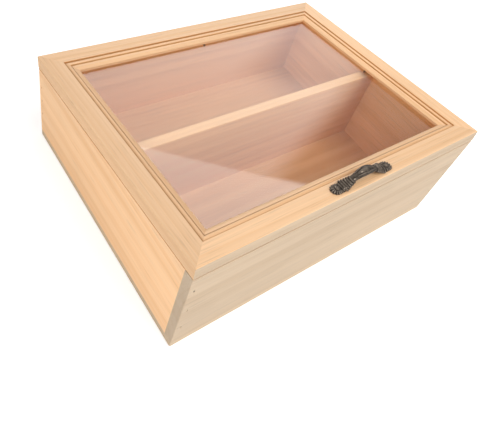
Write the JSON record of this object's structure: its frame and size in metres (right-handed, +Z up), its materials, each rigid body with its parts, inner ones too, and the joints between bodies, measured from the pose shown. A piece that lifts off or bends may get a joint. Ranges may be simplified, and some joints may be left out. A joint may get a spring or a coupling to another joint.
{
  "type": "tea bag storage box",
  "caption": "Pine box with a glazed, hinged lid that slopes down to the back, a cast bow pull and two long compartments for wrapped tea bags.",
  "frame": {"origin": "middle of the base's underside, on the surface that the box stands on", "axes": "+X along the front to the right as seen from the front, +Y to the hinge side, +Z up"},
  "size_m": [0.25, 0.1995, 0.1039],
  "materials": {
    "pine_box": "smooth sanded pine with a clear matt finish",
    "pine_base": "smooth sanded pine, slightly yellower",
    "pine_lid": "smooth sanded pine with a clear satin finish",
    "nail_steel": "dull dark steel",
    "clear_glass": "clear, polished",
    "antique_bronze": "antique bronze, dark in the hollows",
    "hinge_brass": "plain satin brass"
  },
  "bodies": {
    "box": {"front_panel": "pine_box", "back_panel": "pine_box", "left_panel": "pine_box", "right_panel": "pine_box", "bottom_panel": "pine_base", "divider": "pine_box", "corner_brads": "nail_steel", "bottom_brads": "nail_steel", "left_hinge_box_leaf": "hinge_brass", "right_hinge_box_leaf": "hinge_brass", "left_hinge_pin": "hinge_brass", "right_hinge_pin": "hinge_brass", "hinge_box_screws": "hinge_brass"},
    "lid": {"lid_front_rail": "pine_lid", "lid_back_rail": "pine_lid", "lid_left_stile": "pine_lid", "lid_right_stile": "pine_lid", "glass_pane": "clear_glass", "glazing_pins": "nail_steel", "lid_v_nails": "nail_steel", "bow_pull": "antique_bronze", "pull_pins": "antique_bronze", "left_hinge_lid_leaf": "hinge_brass", "right_hinge_lid_leaf": "hinge_brass", "hinge_lid_screws": "hinge_brass"}
  },
  "joints": [
    {"name": "lid_hinge", "type": "hinge", "parent": "box", "child": "lid", "pos_m": [0, 0.0999, 0.06595], "axis": [-1, 0, 0], "range_deg": [0, 187]}
  ]
}
